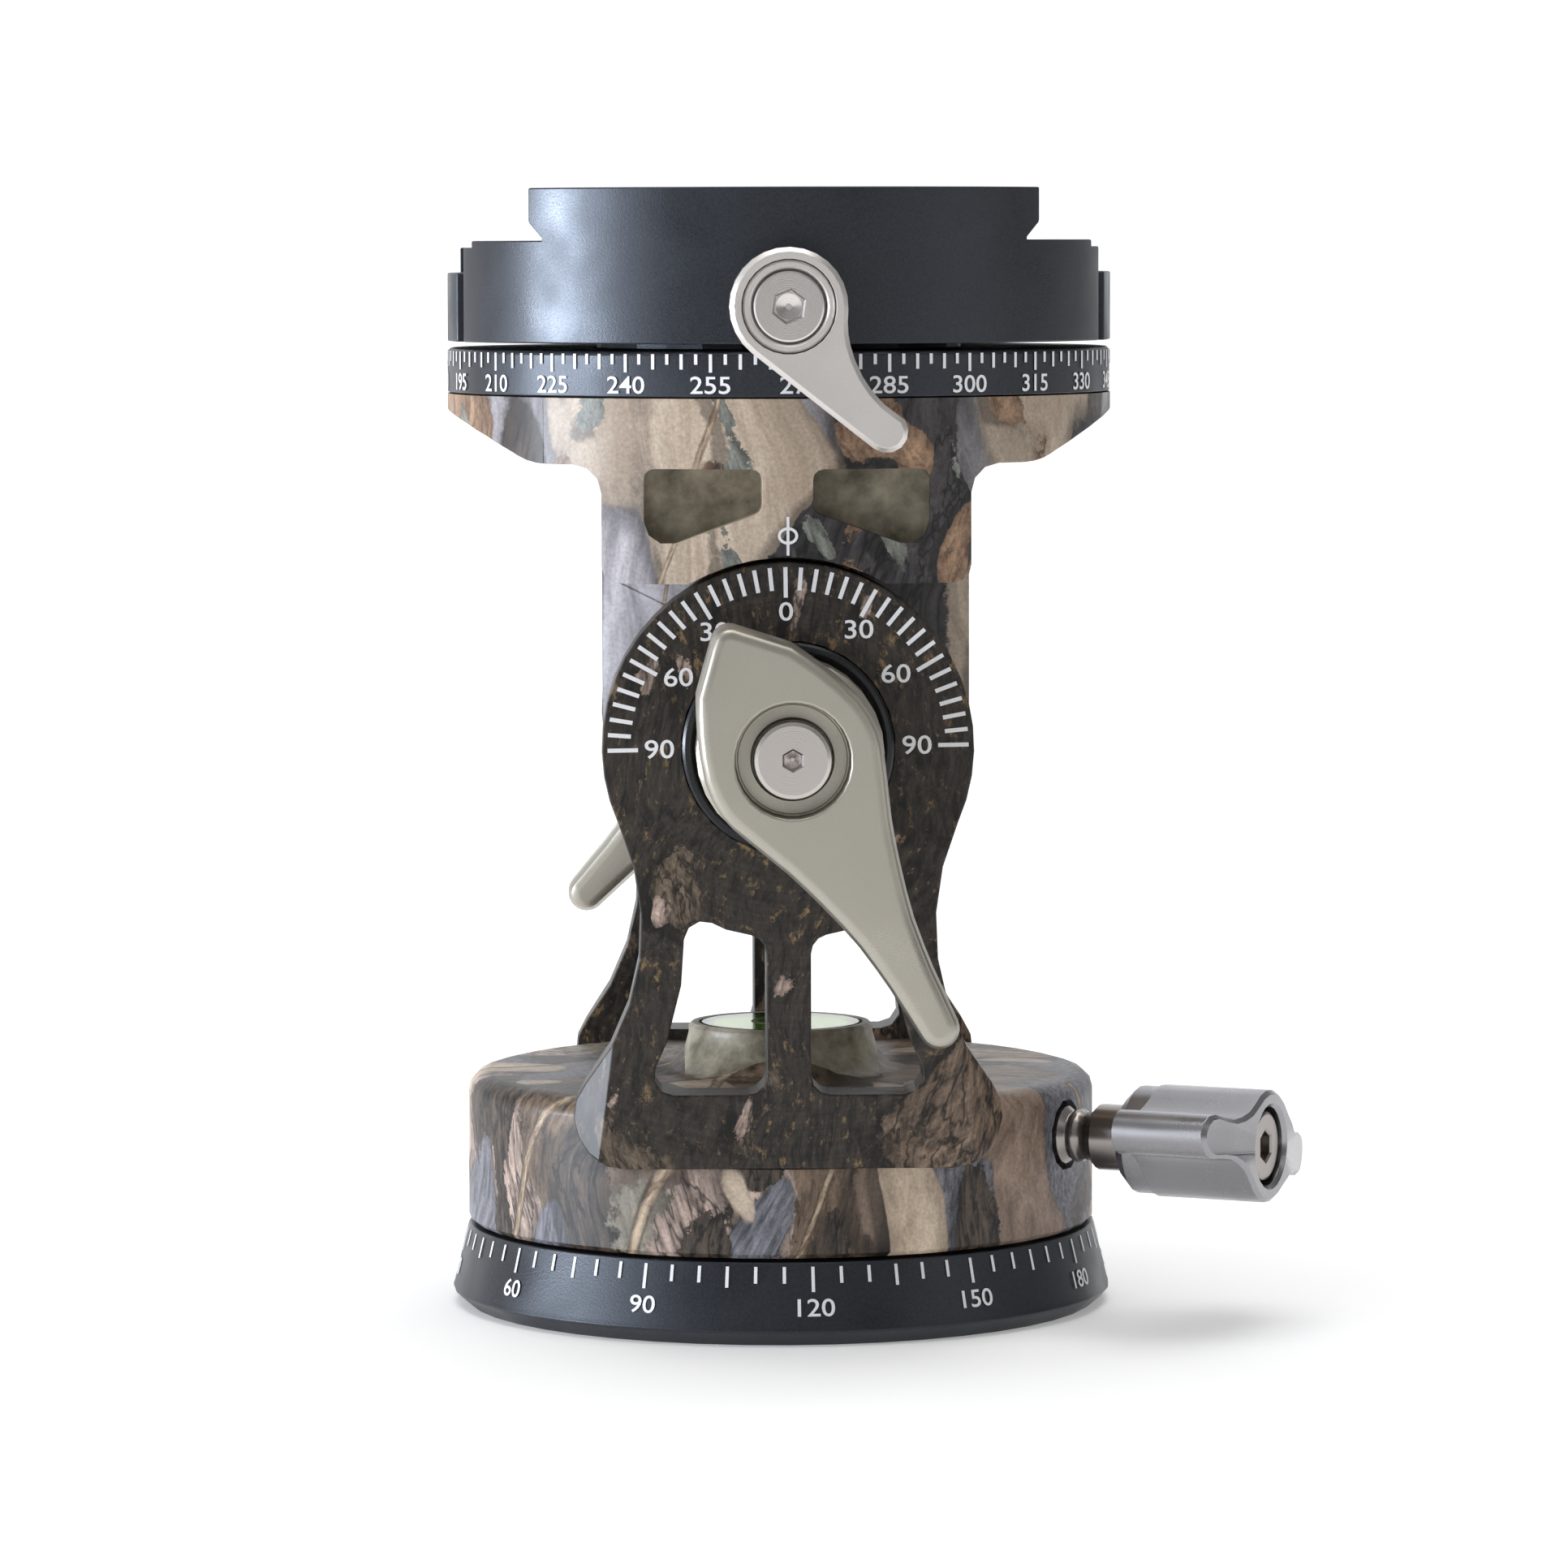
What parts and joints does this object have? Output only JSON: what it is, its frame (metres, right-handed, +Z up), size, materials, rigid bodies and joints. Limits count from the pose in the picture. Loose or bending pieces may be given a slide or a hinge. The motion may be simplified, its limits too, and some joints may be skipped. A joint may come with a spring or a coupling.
{
  "type": "monopod tilt head",
  "caption": "Monopod tilt head: a panning base, a two-plate yoke with a tilting bracket, and a panning dovetail clamp with a lever-driven jaw.",
  "frame": {"origin": "on the pan axis, in the plane of the base ring's underside, at the mouth of the 3/8 inch thread socket", "axes": "+Z up along the pan axis, +Y along the tilt axle towards the rear, +X along the clamp's groove"},
  "size_m": [0.0767, 0.09, 0.1011],
  "materials": {
    "black_anodised": "fine matt black anodised, bead-blasted",
    "camouflage_film": "satin clear-coated bark and leaf pattern film",
    "dark_camouflage_film": "satin clear-coated dark bark pattern film",
    "satin_silver": "satin warm silver anodised",
    "grey_anodised": "satin grey anodised",
    "stainless": "turned stainless steel",
    "brass": "turned brass",
    "bronze": "sintered bronze",
    "white_polymer": "natural white acetal",
    "clear_acrylic": "clear",
    "level_green": "fluorescent yellow-green liquid"
  },
  "bodies": {
    "base": {"base_ring": "black_anodised", "thread_insert": "stainless", "pan_spindle": "stainless", "base_screw_1": "stainless", "base_screw_2": "stainless", "base_screw_3": "stainless"},
    "yoke": {"base_disc": "camouflage_film", "retaining_ring": "grey_anodised", "retaining_screw_1": "stainless", "retaining_screw_2": "stainless", "retaining_screw_3": "stainless", "pan_washer": "white_polymer", "level_vial": "clear_acrylic", "level_liquid": "level_green", "level_backing": "white_polymer", "front_plate": "dark_camouflage_film", "rear_plate": "dark_camouflage_film", "plate_screw_1": "stainless", "plate_screw_2": "stainless", "plate_screw_3": "stainless", "plate_screw_4": "stainless", "tilt_axle": "stainless", "front_bezel_ring": "black_anodised", "rear_bezel_ring": "black_anodised"},
    "pan_pad": {"pan_lock_pad": "brass"},
    "pan_knob": {"pan_lock_screw": "stainless", "pan_lock_knob": "grey_anodised", "pan_lock_knob_screw": "stainless"},
    "front_lever": {"front_clamp_nut": "satin_silver", "front_tilt_lever": "satin_silver", "front_lever_screw": "stainless"},
    "rear_lever": {"rear_clamp_nut": "satin_silver", "rear_tilt_lever": "satin_silver", "rear_lever_screw": "stainless"},
    "tilt_head": {"tilt_bracket": "camouflage_film", "front_bush": "bronze", "rear_bush": "bronze", "front_friction_washer": "white_polymer", "rear_friction_washer": "white_polymer", "upper_scale_ring": "black_anodised", "scale_ring_screw_1": "stainless", "scale_ring_screw_2": "stainless", "scale_ring_screw_3": "stainless", "upper_pan_washer": "white_polymer"},
    "clamp": {"clamp_body": "black_anodised", "pan_hub": "black_anodised", "hub_screw_1": "stainless", "hub_screw_2": "stainless", "hub_screw_3": "stainless", "left_guide_pin": "stainless", "right_guide_pin": "stainless", "left_jaw_spring": "stainless", "right_jaw_spring": "stainless"},
    "jaw": {"clamp_jaw": "black_anodised"},
    "clamp_lever": {"clamp_lever": "satin_silver", "clamp_lever_insert": "satin_silver", "clamp_lever_screw": "stainless", "clamp_lever_washer": "stainless", "draw_screw": "stainless"}
  },
  "joints": [
    {"name": "base_pan", "type": "hinge", "parent": "base", "child": "yoke", "pos_m": [0, 0, 0.0076], "axis": [0, 0, 1], "continuous": true},
    {"name": "pan_lock_slide", "type": "slide", "parent": "yoke", "child": "pan_pad", "axis": [0.891, -0.454, 0], "range_m": [0, 0.00101]},
    {"name": "pan_lock_turn", "type": "hinge", "parent": "pan_pad", "child": "pan_knob", "pos_m": [0, 0, 0.01645], "axis": [0.891, -0.454, 0], "range_deg": [0, 360]},
    {"name": "front_lever_turn", "type": "hinge", "parent": "yoke", "child": "front_lever", "pos_m": [0, 0, 0.0525], "axis": [0, -1, 0], "range_deg": [0, 90]},
    {"name": "rear_lever_turn", "type": "hinge", "parent": "yoke", "child": "rear_lever", "pos_m": [0, 0, 0.0525], "axis": [0, 1, 0], "range_deg": [0, 90]},
    {"name": "tilt", "type": "hinge", "parent": "yoke", "child": "tilt_head", "pos_m": [0, 0, 0.0525], "axis": [0, 1, 0], "range_deg": [-90, 90]},
    {"name": "clamp_pan", "type": "hinge", "parent": "tilt_head", "child": "clamp", "pos_m": [0, 0, 0.0874], "axis": [0, 0, 1], "continuous": true},
    {"name": "jaw_slide", "type": "slide", "parent": "clamp", "child": "jaw", "axis": [0, -1, 0], "range_m": [-0.00175, 0.00125]},
    {"name": "clamp_lever_turn", "type": "hinge", "parent": "jaw", "child": "clamp_lever", "pos_m": [0, 0, 0.0908], "axis": [0, -1, 0], "range_deg": [-315.2, 225.2]}
  ],
  "couplings": [
    {"joint": "pan_lock_slide", "follows": "pan_lock_turn", "m_per_rad": 0.00015915},
    {"joint": "clamp_lever_turn", "follows": "jaw_slide", "rad_per_m": 3141.6}
  ]
}
